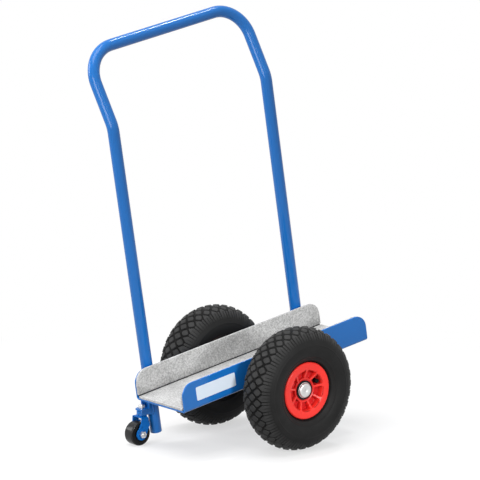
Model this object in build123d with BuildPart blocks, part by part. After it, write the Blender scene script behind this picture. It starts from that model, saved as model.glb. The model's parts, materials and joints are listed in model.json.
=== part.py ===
"""Panel dolly: a felt-lined channel between two pneumatic wheels, with a hoop handle and a castor.

Millimetres, +Z up. The origin is on the floor, under the middle of the dolly's box. +X points
along the tray, away from the castor, and +Y to the side of the hoop.
"""
import os
from math import asin, cos, degrees, hypot, radians, sin, sqrt, tan

from build123d import *

os.makedirs("parts", exist_ok=True)

# Driving dimensions: how the dolly stands
tray_tilt = 10.0
tyre_radius = 130.0
wheel_mid_y = 138.0

# Driving dimensions: tray and felt
tray_length = 505.0
tray_width = 160.0
tray_height = 60.0
sheet = 4.0
fold_inner_radius = 3.0
wall_corner_radius = 28.0
felt = 5.0
felt_side_gap = 0.25
felt_seam = 1.8

# Driving dimensions: hoop handle
tube_radius = 12.5
tube_wall = 2.0
leg_x = 206.0
leg_gap = 0.2
long_leg_below = 89.0
short_leg_above = 6.0
bend_height = 575.0
top_section = 162.0
top_lean = 22.5
leg_bend_radius = 60.0
corner_radius = 68.0

# Driving dimensions: weld beads, as triangles in the corner beside a tube
weld_throat = 7.0
weld_root = 4.0
weld_toe = 2.0
weld_end = 4.0

# Driving dimensions: axle
axle_radius = 10.0
axle_tube_radius = 15.0
axle_half = 163.0
axle_chamfer = 1.0
fit_gap = 0.05
thrust_gap = 0.4
washer_thickness = 2.0
inner_washer_radius = 18.0
outer_washer_radius = 20.5
cap_radius = 16.5
cap_height = 5.0
cap_edge_radius = 3.0
cap_brim = 1.0

# Driving dimensions: rim and hub, along the axle from the wheel's middle, outwards positive
flange_face = 32.0
flange_radius = 60.0
flange_thickness = 4.0
flange_chamfer = 2.0
bead_radius = 52.0
bead_half = 26.5
well_radius = 47.0
well_half = 7.0
well_slope = 4.0
barrel_radius = 43.0
ring_step = 3.0
hub_radius = 23.0
hub_out = 20.0
hub_in = 42.0
hub_in_taper = 3.0
hub_chamfer = 1.0
bearing_radius = 15.0
disc_rim_out = 30.5
disc_hub_out = 21.5
disc_in = -12.0
pocket_floor = 15.0
web_back = 8.0
pocket_count = 9
pocket_inner = 25.5
pocket_outer = 42.5
spoke_width = 4.5
pocket_corner = 1.2
pocket_phase = 30.0

# Driving dimensions: roller bearing
roller_count = 10
roller_length = 40.0
cage_half = 26.0
cage_wall = 1.4

# Driving dimensions: tyre and inner tube, in the wheel's half-section
tyre_half_width = 42.5
tyre_widest_at = 91.0
shoulder_half = 33.0
shoulder_radius = 119.5
bead_toe_half = 30.0
bead_toe_radius = 62.0
bead_opening_half = 17.0
tube_middle = 90.0
tube_width = 72.0
tube_height = 62.0
tube_skin = 2.0
tube_slack = 0.3

# Driving dimensions: tread, four staggered columns of diamond blocks and a row of lugs on each shoulder
tread_depth = 3.0
tread_count = 34
column_pitch = 13.0
diamond_round = 9.9
diamond_across = 10.9
diamond_sink = 0.9
block_root = 1.5
tip_across = 27.0
tip_inner = 5.4
tip_outer = 4.0
tip_half = 8.4
tip_sink = 0.2
lug_wall = 29.0
lug_notch = 7.0
lug_foot_radius = 106.0
lug_foot_half = 38.2
notch_start = 28.0
notch_lift = 0.3

# Driving dimensions: valve
valve_radius = 3.5
valve_hole_radius = 4.2
valve_opening = 7.5
valve_turn_at = 33.0
valve_tip_out = 28.0
valve_bend_radius = 8.0
valve_cap_radius = 4.6
valve_cap_length = 10.0
valve_cap_proud = 1.0

# Driving dimensions: castor
castor_radius = 25.0
castor_width = 25.0
castor_trail = 11.5
castor_edge_radius = 3.0
core_radius = 16.0
core_recess = 1.0
core_boss_wall = 3.0
sleeve_radius = 6.0
swivel_from_leg_x = -27.5
swivel_from_leg_y = 2.0
plate_bottom = 72.0
plate_thickness = 5.0
plate_end_radius = 11.5
plate_back = 10.5
plate_near_half = 14.0
plate_far_half = 8.0
lip_thickness = 2.8
lip_drop = 8.0
tab_back = 9.0
tab_top = 109.0
tab_corner = 6.0
crown_top = 61.0
fork_sheet = 2.5
fork_inner_half = 13.6
fork_hub_radius = 13.0
fork_front = 9.5
fork_front_top = 4.0
fork_back = -12.5
fork_front_drop = 18.0
fork_back_drop = 12.0
fork_bend_radius = 4.0
head_radius = 11.0
head_chamfer = 2.0
race_gap = 0.6
ball_radius = 2.0
ball_pitch_radius = 8.5
ball_count = 12
ball_height = 64.0

# Driving dimensions: the castor's M8 fasteners
bolt_radius = 4.0
bolt_head_height = 5.0
bolt_chamfer = 0.8
bolt_proud = 1.2
nut_flats = 13.0
nut_height = 6.5
nut_turned_radius = 7.4
nut_turned_height = 1.2
nut_turned_angle = 30.0

# Places that follow from the dimensions
tilt = radians(tray_tilt)
lean = radians(top_lean)
under = axle_tube_radius + leg_gap
leg_y = tray_width / 2 + leg_gap + tube_radius
bend_z = under + bend_height
bar_y = leg_y + top_section * sin(lean)
bar_z = bend_z + top_section * cos(lean)

# The box's ends along X, from the axle: the hoop's outer corner and the tray's high end
arc_z = bar_z - corner_radius * cos(lean)
arc_reach = corner_radius * hypot(cos(tilt), sin(tilt) * cos(lean)) + tube_radius
box_back = -cos(tilt) * (leg_x - corner_radius) - sin(tilt) * arc_z - arc_reach
box_front = cos(tilt) * tray_length / 2 - sin(tilt) * under
axle_x = -(box_back + box_front) / 2

# The tray's own axes, with their origin at the middle of the axle
deck = Plane(
    origin=(axle_x, 0, tyre_radius),
    x_dir=(cos(tilt), 0, sin(tilt)),
    z_dir=(-sin(tilt), 0, cos(tilt)),
)


def on_deck(plane):
    """A plane given in the tray's own axes, placed in the dolly's frame."""
    return Plane(deck * plane)


def save(part, name):
    """Label a finished piece and write it under its own name."""
    part.label = name
    export_step(part, f"parts/{name}.step")


# Tray: one folded sheet, open at both ends and at the top
with BuildPart() as tray:
    with BuildSketch(on_deck(Plane.YZ.offset(-tray_length / 2))) as channel:
        with Locations((0, under + tray_height / 2)):
            Rectangle(tray_width, tray_height)
        fillet(channel.vertices().sort_by(Axis.Y)[:2], fold_inner_radius + sheet)
        with BuildSketch(mode=Mode.SUBTRACT) as hollow:
            with Locations((0, under + sheet + tray_height / 2)):
                Rectangle(tray_width - 2 * sheet, tray_height)
            fillet(hollow.vertices().sort_by(Axis.Y)[:2], fold_inner_radius)
    extrude(amount=tray_length)
    wall_corners = tray.edges().filter_by(Axis.Y).filter_by(lambda edge: abs(edge.length - sheet) < 0.1)
    fillet(wall_corners, wall_corner_radius)
save(tray.part, "tray")

# Felt strips: one on the floor, one up each wall above it, cut to the walls' rounded corners
felt_floor_half = tray_width / 2 - sheet - felt - felt_side_gap
with BuildPart() as felt_floor:
    with BuildSketch(on_deck(Plane.XY.offset(under + sheet))):
        Rectangle(tray_length, 2 * felt_floor_half)
    extrude(amount=felt)
save(felt_floor.part, "felt_floor")

wall_felt_bottom = under + sheet + felt + felt_seam
wall_felt_height = under + tray_height - wall_felt_bottom
for felt_name, felt_side in (("felt_open_wall", -1), ("felt_hoop_wall", 1)):
    with BuildPart() as wall_felt:
        with BuildSketch(on_deck(Plane.XZ.offset(-felt_side * (tray_width / 2 - sheet)))) as strip:
            with Locations((0, wall_felt_bottom + wall_felt_height / 2)):
                Rectangle(tray_length, wall_felt_height)
            fillet(strip.vertices().sort_by(Axis.Y)[-2:], wall_corner_radius)
        extrude(amount=felt_side * felt)
    save(wall_felt.part, felt_name)

# Hoop handle: one bent tube, its long leg running down past the tray to the castor
hoop_route = [
    (-leg_x, leg_y, under - long_leg_below),
    (-leg_x, leg_y, bend_z),
    (-leg_x, bar_y, bar_z),
    (leg_x, bar_y, bar_z),
    (leg_x, leg_y, bend_z),
    (leg_x, leg_y, under + short_leg_above),
]
with BuildPart() as hoop_handle:
    with BuildLine() as hoop_line:
        FilletPolyline(
            *[deck.from_local_coords(Vector(*point)) for point in hoop_route],
            radius=[leg_bend_radius, corner_radius, corner_radius, leg_bend_radius],
        )
    with BuildSketch(Plane(origin=hoop_line.line @ 0, z_dir=hoop_line.line % 0)):
        Circle(tube_radius)
        Circle(tube_radius - tube_wall, mode=Mode.SUBTRACT)
    sweep()
save(hoop_handle.part, "hoop_handle")

# Weld beads along both sides of each leg, where it lies against the tray's wall
fold_outer_radius = fold_inner_radius + sheet
leg_weld_bottom = under + fold_outer_radius
leg_weld_top = under + tray_height - weld_end
with BuildPart() as leg_welds:
    with BuildSketch(on_deck(Plane.XY.offset(leg_weld_bottom))):
        for leg in (-leg_x, leg_x):
            for side in (-1, 1):
                with BuildLine():
                    Polyline(
                        (leg + side * weld_root, tray_width / 2),
                        (leg + side * (tube_radius + weld_toe), tray_width / 2),
                        (leg + side * (tube_radius - weld_toe / 2), tray_width / 2 + weld_throat),
                        close=True,
                    )
                make_face()
            with Locations((leg, leg_y)):
                Circle(tube_radius, mode=Mode.SUBTRACT)
    extrude(amount=leg_weld_top - leg_weld_bottom)
save(leg_welds.part, "leg_welds")

# Axle tube under the tray, with the weld beads that hold it there
tube_end_y = wheel_mid_y - hub_in - thrust_gap - washer_thickness
with BuildPart() as axle_tube:
    with BuildSketch(on_deck(Plane.XZ)):
        Circle(axle_tube_radius)
        Circle(axle_radius + fit_gap, mode=Mode.SUBTRACT)
    extrude(amount=tube_end_y, both=True)
save(axle_tube.part, "axle_tube")

with BuildPart() as axle_tube_welds:
    with BuildSketch(on_deck(Plane.XZ)):
        for side in (-1, 1):
            with BuildLine():
                Polyline(
                    (side * weld_root, under),
                    (side * (axle_tube_radius + weld_toe), under),
                    (side * (axle_tube_radius - weld_toe / 2), under - weld_throat),
                    close=True,
                )
            make_face()
        Circle(axle_tube_radius, mode=Mode.SUBTRACT)
    extrude(amount=tray_width / 2 - fold_outer_radius - weld_end, both=True)
save(axle_tube_welds.part, "axle_tube_welds")

# Axle: one bar through the tube, chamfered at both ends
with BuildPart() as axle:
    with BuildSketch(on_deck(Plane.XZ)):
        Circle(axle_radius)
    extrude(amount=axle_half, both=True)
    chamfer(axle.edges().filter_by(GeomType.CIRCLE), axle_chamfer)
save(axle.part, "axle")

# Wheels: the pieces of the right one are made here, and the left one's are their mirror image
axle_line = Axis((axle_x, 0, tyre_radius), (0, 1, 0))
half_section = Plane(
    origin=(axle_x, -wheel_mid_y, tyre_radius),
    x_dir=(0, -1, 0),
    z_dir=(-1, 0, 0),
)


def wheel_face(out):
    """Plane square to the axle, facing outwards, at a distance from the wheel's middle."""
    return Plane(
        origin=(axle_x, -wheel_mid_y - out, tyre_radius),
        x_dir=(1, 0, 0),
        z_dir=(0, -1, 0),
    )


def save_pair(part, name):
    """Write a wheel's piece as the right one, and its mirror image as the left one."""
    save(part, f"right_{name}")
    with BuildPart() as other:
        mirror(part, about=Plane.XZ)
    save(other.part, f"left_{name}")


# Tread, in the wheel's own axes: blocks that stand on the crown, and notches between the shoulder lugs
crown_arc = (shoulder_half**2 + (tyre_radius - shoulder_radius) ** 2) / 2 / (tyre_radius - shoulder_radius)
crown_middle = tyre_radius - crown_arc
tread_top = tyre_radius + tread_depth
tread_step = 360 / tread_count
notch_angle = degrees(lug_notch / shoulder_radius)


def tread_floor(across):
    """Radius of the tread's floor, at a distance across the tyre from its middle."""
    return crown_middle + sqrt(crown_arc**2 - across**2) - tread_depth


def make_block(across, sink, outline):
    """A flat-topped block, its top a little below the crown, at a distance along the crown's arc."""
    turn = across / crown_arc
    top_arc = crown_arc - sink
    top = Plane(
        origin=(crown_middle + top_arc * cos(turn), 0, top_arc * sin(turn)),
        x_dir=(0, 1, 0),
        z_dir=(cos(turn), 0, sin(turn)),
    )
    with BuildPart() as block:
        with BuildSketch(top):
            with BuildLine():
                Polyline(*outline, close=True)
            make_face()
        extrude(amount=sink - tread_depth - block_root)
    return block.part


def make_notch(side):
    """The space between two lugs: its floor runs over the shoulder and ends at the lugs' feet."""
    floor = [
        (side * notch_start, tread_floor(notch_start) + notch_lift),
        (side * (shoulder_half - tread_depth / 2), shoulder_radius - tread_depth),
        (side * lug_foot_half, lug_foot_radius),
        (side * (tyre_half_width + tread_depth), lug_foot_radius),
    ]
    with BuildPart() as notch:
        with BuildSketch(Plane(origin=(0, 0, 0), x_dir=(0, 0, 1), z_dir=(0, 1, 0))):
            with BuildLine():
                Polyline((floor[0][0], tread_top), *floor, (floor[-1][0], tread_top), close=True)
            make_face()
        revolve(axis=Axis.Z, revolution_arc=notch_angle)
    return notch.part


diamond = [(diamond_round, 0), (0, diamond_across), (-diamond_round, 0), (0, -diamond_across)]

# Tyre: a round section on the rim's bead seats, its crown cut down to the tread's floor
with BuildPart() as tyre:
    with BuildSketch(half_section):
        with BuildLine():
            ThreePointArc((-shoulder_half, shoulder_radius), (0, tyre_radius), (shoulder_half, shoulder_radius))
            for side in (-1, 1):
                ThreePointArc(
                    (side * shoulder_half, shoulder_radius),
                    (side * tyre_half_width, tyre_widest_at),
                    (side * bead_toe_half, bead_toe_radius),
                )
            Polyline(
                (bead_toe_half, bead_toe_radius),
                (flange_face - flange_thickness, flange_radius),
                (bead_half, bead_radius),
                (-bead_half, bead_radius),
                (flange_thickness - flange_face, flange_radius),
                (-bead_toe_half, bead_toe_radius),
            )
        make_face()
        with Locations((0, tube_middle)):
            SlotOverall(tube_width + 2 * tube_slack, tube_height + 2 * tube_slack, mode=Mode.SUBTRACT)
        with Locations((0, (bead_radius + tube_middle) / 2)):
            Rectangle(2 * bead_opening_half, tube_middle - bead_radius, mode=Mode.SUBTRACT)
        with BuildLine():
            ThreePointArc((-lug_wall, tread_floor(lug_wall)), (0, tread_floor(0)), (lug_wall, tread_floor(lug_wall)))
            Polyline(
                (lug_wall, tread_floor(lug_wall)),
                (lug_wall, tread_top),
                (-lug_wall, tread_top),
                (-lug_wall, tread_floor(lug_wall)),
            )
        make_face(mode=Mode.SUBTRACT)
    revolve(axis=axle_line)
    with Locations(wheel_face(0)):
        for column, stagger in ((-1.5, 0), (-0.5, 0.5), (0.5, 0), (1.5, 0.5)):
            with PolarLocations(0, tread_count, start_angle=stagger * tread_step):
                add(make_block(column * column_pitch, diamond_sink, diamond))
        for side, stagger in ((-1, 0.5), (1, 0)):
            tip = [(0, -side * tip_inner), (tip_half, side * tip_outer), (-tip_half, side * tip_outer)]
            with PolarLocations(0, tread_count, start_angle=stagger * tread_step):
                add(make_block(side * tip_across, tip_sink, tip))
            with PolarLocations(0, tread_count, start_angle=(stagger + 0.5) * tread_step - notch_angle / 2):
                add(make_notch(side), mode=Mode.SUBTRACT)
save_pair(tyre.part, "tyre")

# Inner tube: hollow, blown up inside the tyre
with BuildPart() as inner_tube:
    with BuildSketch(half_section):
        with Locations((0, tube_middle)):
            SlotOverall(tube_width, tube_height)
            SlotOverall(tube_width - 2 * tube_skin, tube_height - 2 * tube_skin, mode=Mode.SUBTRACT)
    revolve(axis=axle_line)
save_pair(inner_tube.part, "inner_tube")

# Valve: a rubber stem from the inner tube, turned outwards in its pocket, with a screw cap
valve_root = tube_middle - tube_height / 2 - tube_slack


def valve_point(out, radius):
    """A point on the valve's own radius, at a distance out along the axle."""
    return (
        axle_x + radius * cos(radians(pocket_phase)),
        -wheel_mid_y - out,
        tyre_radius + radius * sin(radians(pocket_phase)),
    )


with BuildPart() as valve:
    with BuildLine() as stem:
        FilletPolyline(
            valve_point(0, valve_root),
            valve_point(0, valve_turn_at),
            valve_point(valve_tip_out, valve_turn_at),
            radius=valve_bend_radius,
        )
    with BuildSketch(Plane(origin=stem.line @ 0, z_dir=stem.line % 0)):
        Circle(valve_radius)
    sweep()
    with BuildSketch(wheel_face(valve_tip_out + valve_cap_proud)):
        with PolarLocations(valve_turn_at, 1, start_angle=pocket_phase):
            Circle(valve_cap_radius)
    extrude(amount=-valve_cap_length)
save_pair(valve.part, "valve")

# One pocket between two straight spokes, centred on the sketch's x axis
pocket_half = radians(180 / pocket_count)
pocket_inner_half = pocket_half - asin(spoke_width / 2 / pocket_inner)
pocket_outer_half = pocket_half - asin(spoke_width / 2 / pocket_outer)
inner_corner = Vector(pocket_inner * cos(pocket_inner_half), pocket_inner * sin(pocket_inner_half))
outer_corner = Vector(pocket_outer * cos(pocket_outer_half), pocket_outer * sin(pocket_outer_half))
with BuildSketch() as pocket:
    with BuildLine() as half_outline:
        Line((pocket_inner, 0), (pocket_outer, 0))
        RadiusArc((pocket_outer, 0), outer_corner, -pocket_outer)
        Line(outer_corner, inner_corner)
        RadiusArc(inner_corner, (pocket_inner, 0), pocket_inner)
    make_face()
    mirror(about=Plane.XZ)
    fillet(pocket.vertices(), pocket_corner)

# Rim: one moulding, with a drop-centre barrel, a long hub, and nine pockets on each face
with BuildPart() as rim:
    with BuildSketch(half_section):
        with BuildLine():
            Polyline(
                (-flange_face, barrel_radius),
                (-flange_face, flange_radius - flange_chamfer),
                (-flange_face + flange_chamfer, flange_radius),
                (-flange_face + flange_thickness, flange_radius),
                (-bead_half, bead_radius),
                (-well_half - well_slope, bead_radius),
                (-well_half, well_radius),
                (well_half, well_radius),
                (well_half + well_slope, bead_radius),
                (bead_half, bead_radius),
                (flange_face - flange_thickness, flange_radius),
                (flange_face - flange_chamfer, flange_radius),
                (flange_face, flange_radius - flange_chamfer),
                (flange_face, barrel_radius + ring_step),
                (disc_rim_out, barrel_radius),
                (disc_hub_out, hub_radius),
                (hub_out, hub_radius - hub_chamfer),
                (hub_out, bearing_radius),
                (-hub_in, bearing_radius),
                (-hub_in, hub_radius - hub_in_taper),
                (disc_in, hub_radius),
                (disc_in, barrel_radius),
                close=True,
            )
        make_face()
    revolve(axis=axle_line)
    for face, depth in ((flange_face, flange_face - pocket_floor), (disc_in, disc_in - web_back)):
        with BuildSketch(wheel_face(face)):
            with PolarLocations(0, pocket_count, start_angle=pocket_phase):
                add(pocket.sketch)
        extrude(amount=-depth, mode=Mode.SUBTRACT)
    valve_hole_start = Vector(*valve_point(0, bead_radius))
    valve_hole_end = Vector(*valve_point(0, pocket_outer))
    with BuildSketch(Plane(origin=valve_hole_start, z_dir=valve_hole_end - valve_hole_start)):
        Circle(valve_hole_radius)
    extrude(amount=bead_radius - barrel_radius + valve_hole_radius, mode=Mode.SUBTRACT)
    with BuildSketch(wheel_face(pocket_floor)):
        with PolarLocations(valve_turn_at, 1, start_angle=pocket_phase):
            Circle(valve_opening)
    extrude(amount=web_back - pocket_floor, mode=Mode.SUBTRACT)
save_pair(rim.part, "rim")

# Roller bearing: steel rollers between the axle and the hub's bore, in the slots of a moulded cage
roller_radius = (bearing_radius - axle_radius) / 2 - fit_gap
roller_pitch = (bearing_radius + axle_radius) / 2
bearing_middle = wheel_face((hub_out - hub_in) / 2)
with BuildPart() as rollers:
    with BuildSketch(bearing_middle):
        with PolarLocations(roller_pitch, roller_count):
            Circle(roller_radius)
    extrude(amount=roller_length / 2, both=True)
save_pair(rollers.part, "rollers")

with BuildPart() as roller_cage:
    with BuildSketch(bearing_middle):
        Circle(roller_pitch + cage_wall)
        Circle(roller_pitch - cage_wall, mode=Mode.SUBTRACT)
    extrude(amount=cage_half, both=True)
    with BuildSketch(bearing_middle):
        with PolarLocations(roller_pitch, roller_count):
            Circle(roller_radius + fit_gap)
    extrude(amount=roller_length / 2 + fit_gap, both=True, mode=Mode.SUBTRACT)
save_pair(roller_cage.part, "roller_cage")

# Thrust washers on the axle: steel inside the hub, black plastic outside
outer_washer_at = hub_out + thrust_gap
for washer_name, washer_radius, washer_at in (
    ("inner_washer", inner_washer_radius, tube_end_y - wheel_mid_y),
    ("outer_washer", outer_washer_radius, outer_washer_at),
):
    with BuildPart() as washer:
        with BuildSketch(wheel_face(washer_at)):
            Circle(washer_radius)
            Circle(axle_radius + fit_gap, mode=Mode.SUBTRACT)
        extrude(amount=washer_thickness)
    save_pair(washer.part, washer_name)

# Axle cap: a shallow pressed dish with a thin brim, pushed over the axle's end
cap_at = outer_washer_at + washer_thickness
with BuildPart() as axle_cap:
    with BuildSketch(wheel_face(cap_at)):
        Circle(cap_radius - cap_brim)
    extrude(amount=cap_height)
    fillet(axle_cap.faces().sort_by(Axis.Y)[0].edges(), cap_edge_radius)
    with BuildSketch(wheel_face(cap_at)):
        Circle(cap_radius)
    extrude(amount=cap_brim)
    with BuildSketch(wheel_face(cap_at)):
        Circle(axle_radius + fit_gap)
    extrude(amount=axle_half - wheel_mid_y - cap_at + fit_gap, mode=Mode.SUBTRACT)
save_pair(axle_cap.part, "axle_cap")

# Castor: its swivel axis stands upright beside the long leg
leg_at_plate = (plate_bottom + plate_thickness / 2 - tyre_radius + leg_x * sin(tilt)) / cos(tilt)
leg_plate_x = axle_x - leg_x * cos(tilt) - leg_at_plate * sin(tilt)
swivel_x = leg_plate_x + swivel_from_leg_x
swivel_y = leg_y + swivel_from_leg_y
castor_x = swivel_x - castor_trail
plate_top = plate_bottom + plate_thickness
fork_outer_half = fork_inner_half + fork_sheet
race_top = ball_height + race_gap / 2
race_bottom = ball_height - race_gap / 2
swivel_line = Axis((swivel_x, swivel_y, 0), (0, 0, 1))


def swivel_plane(height):
    """Level plane about the swivel axis, at a height above the floor."""
    return Plane(origin=(swivel_x, swivel_y, height))


def swivel_side(out):
    """Upright plane about the swivel axis, facing the open side, with its heights from the floor."""
    return Plane(origin=(swivel_x, swivel_y - out, 0), x_dir=(1, 0, 0), z_dir=(0, -1, 0))


def leg_from_swivel(height):
    """Distance along X from the swivel axis to the long leg's middle, at a height above the floor."""
    return -swivel_from_leg_x - (height - plate_bottom - plate_thickness / 2) * tan(tilt)


def castor_side(out):
    """Upright plane about the castor wheel's axle, facing the open side, at a distance from its middle."""
    return Plane(
        origin=(castor_x, swivel_y - out, castor_radius),
        x_dir=(1, 0, 0),
        z_dir=(0, -1, 0),
    )


# Bracket: a round-ended lug with a folded lip, whose tab runs up the leg that it is welded to
plate_length = plate_back - swivel_from_leg_x
plate_middle = plate_length / 2 - plate_back
with BuildPart() as castor_bracket:
    with BuildSketch(swivel_plane(plate_bottom)):
        Circle(plate_end_radius)
        with Locations((plate_middle, (plate_far_half - plate_near_half) / 2)):
            Rectangle(plate_length, plate_near_half + plate_far_half)
        Circle(bolt_radius + fit_gap, mode=Mode.SUBTRACT)
    extrude(amount=plate_thickness)
    with BuildSketch(swivel_side(plate_near_half)) as lip:
        with BuildLine():
            Polyline(
                (-plate_back, plate_bottom - lip_drop),
                (leg_from_swivel(plate_bottom - lip_drop), plate_bottom - lip_drop),
                (leg_from_swivel(tab_top), tab_top),
                (tab_back, tab_top),
                (tab_back, plate_top),
                (-plate_back, plate_top),
                close=True,
            )
        make_face()
        fillet(lip.vertices().sort_by_distance((tab_back, tab_top)).first, tab_corner)
    extrude(amount=-lip_thickness)
    with BuildSketch(on_deck(Plane.XY.offset(under - long_leg_below))):
        with Locations((-leg_x, leg_y)):
            Circle(tube_radius)
    extrude(amount=long_leg_below + tray_height, mode=Mode.SUBTRACT)
save(castor_bracket.part, "castor_bracket")

# Kingpin: a bolt whose head sits in the fork, held by a nut on the bracket
kingpin_shoulder = crown_top - fork_sheet - thrust_gap
with BuildPart() as kingpin:
    with BuildSketch(swivel_plane(kingpin_shoulder)):
        RegularPolygon(nut_flats / 2, 6, major_radius=False)
    extrude(amount=-bolt_head_height)
    with BuildSketch(swivel_plane(kingpin_shoulder)):
        Circle(bolt_radius)
    extrude(amount=plate_top + nut_height + bolt_proud - kingpin_shoulder)
    chamfer(kingpin.faces().sort_by(Axis.Z)[-1].edges(), bolt_chamfer)
save(kingpin.part, "kingpin")


def make_nut(plane):
    """Hexagon nut with its corners turned off at the outer face."""
    with BuildPart() as nut:
        with BuildSketch(plane):
            RegularPolygon(nut_flats / 2, 6, major_radius=False)
            Circle(bolt_radius + fit_gap, mode=Mode.SUBTRACT)
        extrude(amount=nut_height)
        with BuildSketch(plane.offset(nut_height - nut_turned_height)):
            Circle(nut_flats)
            Circle(nut_turned_radius, mode=Mode.SUBTRACT)
        extrude(amount=2 * nut_turned_height, taper=nut_turned_angle, mode=Mode.SUBTRACT)
    return nut.part


save(make_nut(swivel_plane(plate_top)), "kingpin_nut")

# Upper race cup, fixed under the bracket, grooved for the balls
with BuildPart() as swivel_cup:
    with BuildSketch(swivel_plane(race_top)):
        Circle(head_radius)
        Circle(bolt_radius + fit_gap, mode=Mode.SUBTRACT)
    extrude(amount=plate_bottom - race_top)
    chamfer(swivel_cup.faces().sort_by(Axis.Z)[-1].outer_wire().edges(), head_chamfer)
    with BuildSketch(swivel_side(0)):
        with Locations((ball_pitch_radius, ball_height)):
            Circle(ball_radius + fit_gap)
    revolve(axis=swivel_line, mode=Mode.SUBTRACT)
save(swivel_cup.part, "swivel_cup")

# Ball ring between the cup and the fork's crown
with BuildPart() as swivel_balls:
    with Locations(swivel_plane(ball_height)):
        with PolarLocations(ball_pitch_radius, ball_count):
            Sphere(ball_radius)
save(swivel_balls.part, "swivel_balls")

# Fork: pressed from one sheet, two cheeks trailing back from the crown to the wheel's axle
crown_rise = crown_top - castor_radius
with BuildPart() as castor_fork:
    with BuildSketch(castor_side(0)):
        with BuildLine():
            Polyline(
                (castor_trail + fork_back, crown_rise),
                (castor_trail + fork_front_top, crown_rise),
                (castor_trail + fork_front, crown_rise - fork_front_drop),
                (fork_hub_radius, 0),
                (-fork_hub_radius, 0),
                (castor_trail + fork_back, crown_rise - fork_back_drop),
                close=True,
            )
        make_face()
        Circle(fork_hub_radius)
    extrude(amount=fork_outer_half, both=True)
    fillet(castor_fork.edges().filter_by(Axis.X).group_by(Axis.Z)[-1], fork_bend_radius)
    with BuildSketch(castor_side(0)):
        Rectangle(4 * castor_radius, 2 * (crown_rise - fork_sheet))
    extrude(amount=fork_inner_half, both=True, mode=Mode.SUBTRACT)
    with BuildSketch(swivel_plane(crown_top - fork_sheet)):
        Circle(head_radius)
    extrude(amount=race_bottom - crown_top + fork_sheet)
    with BuildSketch(swivel_plane(crown_top - fork_sheet)):
        Circle(bolt_radius + fit_gap)
    extrude(amount=race_bottom - crown_top + fork_sheet, mode=Mode.SUBTRACT)
    with BuildSketch(swivel_side(0)):
        with Locations((ball_pitch_radius, ball_height)):
            Circle(ball_radius + fit_gap)
    revolve(axis=swivel_line, mode=Mode.SUBTRACT)
    with BuildSketch(castor_side(0)):
        Circle(bolt_radius + fit_gap)
    extrude(amount=fork_outer_half, both=True, mode=Mode.SUBTRACT)
save(castor_fork.part, "castor_fork")

# Castor axle: a bolt with its head on the hoop side and its nut on the open side
with BuildPart() as castor_bolt:
    with BuildSketch(castor_side(-fork_outer_half)):
        RegularPolygon(nut_flats / 2, 6, major_radius=False)
    extrude(amount=-bolt_head_height)
    with BuildSketch(castor_side(-fork_outer_half)):
        Circle(bolt_radius)
    extrude(amount=2 * fork_outer_half + nut_height + bolt_proud)
    chamfer(castor_bolt.faces().sort_by(Axis.Y)[0].edges(), bolt_chamfer)
save(castor_bolt.part, "castor_bolt")
save(make_nut(castor_side(fork_outer_half)), "castor_nut")

# Spacer sleeve between the cheeks, on which the wheel turns
with BuildPart() as castor_sleeve:
    with BuildSketch(castor_side(0)):
        Circle(sleeve_radius)
        Circle(bolt_radius + fit_gap, mode=Mode.SUBTRACT)
    extrude(amount=fork_inner_half, both=True)
save(castor_sleeve.part, "castor_sleeve")

# Castor wheel: a moulded core with a raised boss, and a rounded tyre on it
with BuildPart() as castor_core:
    for radius, half in ((core_radius, castor_width / 2 - core_recess), (sleeve_radius + core_boss_wall, castor_width / 2)):
        with BuildSketch(castor_side(0)):
            Circle(radius)
            Circle(sleeve_radius + fit_gap, mode=Mode.SUBTRACT)
        extrude(amount=half, both=True)
save(castor_core.part, "castor_core")

with BuildPart() as castor_tyre:
    with BuildSketch(castor_side(0)):
        Circle(castor_radius)
        Circle(core_radius, mode=Mode.SUBTRACT)
    extrude(amount=castor_width / 2, both=True)
    fillet(castor_tyre.edges().filter_by(GeomType.CIRCLE).group_by(SortBy.RADIUS)[-1], castor_edge_radius)
save(castor_tyre.part, "castor_tyre")

print("axle x", round(axle_x, 3), "castor x", round(castor_x, 3), "swivel", round(swivel_x, 3), round(swivel_y, 3))
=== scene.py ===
"""Looks of the panel dolly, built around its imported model. Metres, +Z up, +X along the tray."""
import json
import math

import bmesh
import bpy
from mathutils import Matrix, Vector, noise


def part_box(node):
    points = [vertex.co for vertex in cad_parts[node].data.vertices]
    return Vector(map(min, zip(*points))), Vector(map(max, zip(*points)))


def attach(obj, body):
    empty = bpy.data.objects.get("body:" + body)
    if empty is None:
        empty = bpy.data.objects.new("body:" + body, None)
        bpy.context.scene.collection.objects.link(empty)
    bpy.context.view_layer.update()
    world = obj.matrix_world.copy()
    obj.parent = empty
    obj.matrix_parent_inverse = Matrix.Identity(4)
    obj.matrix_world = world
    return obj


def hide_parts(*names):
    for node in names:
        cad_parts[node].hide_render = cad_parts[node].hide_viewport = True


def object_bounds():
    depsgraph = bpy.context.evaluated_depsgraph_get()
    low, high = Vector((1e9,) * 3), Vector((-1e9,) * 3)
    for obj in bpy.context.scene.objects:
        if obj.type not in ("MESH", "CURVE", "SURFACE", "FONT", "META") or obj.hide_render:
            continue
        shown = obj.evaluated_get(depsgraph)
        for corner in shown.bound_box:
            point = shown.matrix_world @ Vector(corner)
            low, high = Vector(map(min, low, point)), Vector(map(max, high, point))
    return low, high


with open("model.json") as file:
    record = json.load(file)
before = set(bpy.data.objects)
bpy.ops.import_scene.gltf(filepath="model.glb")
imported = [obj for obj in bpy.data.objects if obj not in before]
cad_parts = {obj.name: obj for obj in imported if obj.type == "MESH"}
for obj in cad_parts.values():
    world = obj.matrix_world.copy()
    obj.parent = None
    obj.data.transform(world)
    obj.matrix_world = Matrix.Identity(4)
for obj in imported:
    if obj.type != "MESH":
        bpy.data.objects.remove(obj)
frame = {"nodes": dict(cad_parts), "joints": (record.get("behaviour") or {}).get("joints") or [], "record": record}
cad_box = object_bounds()


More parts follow.
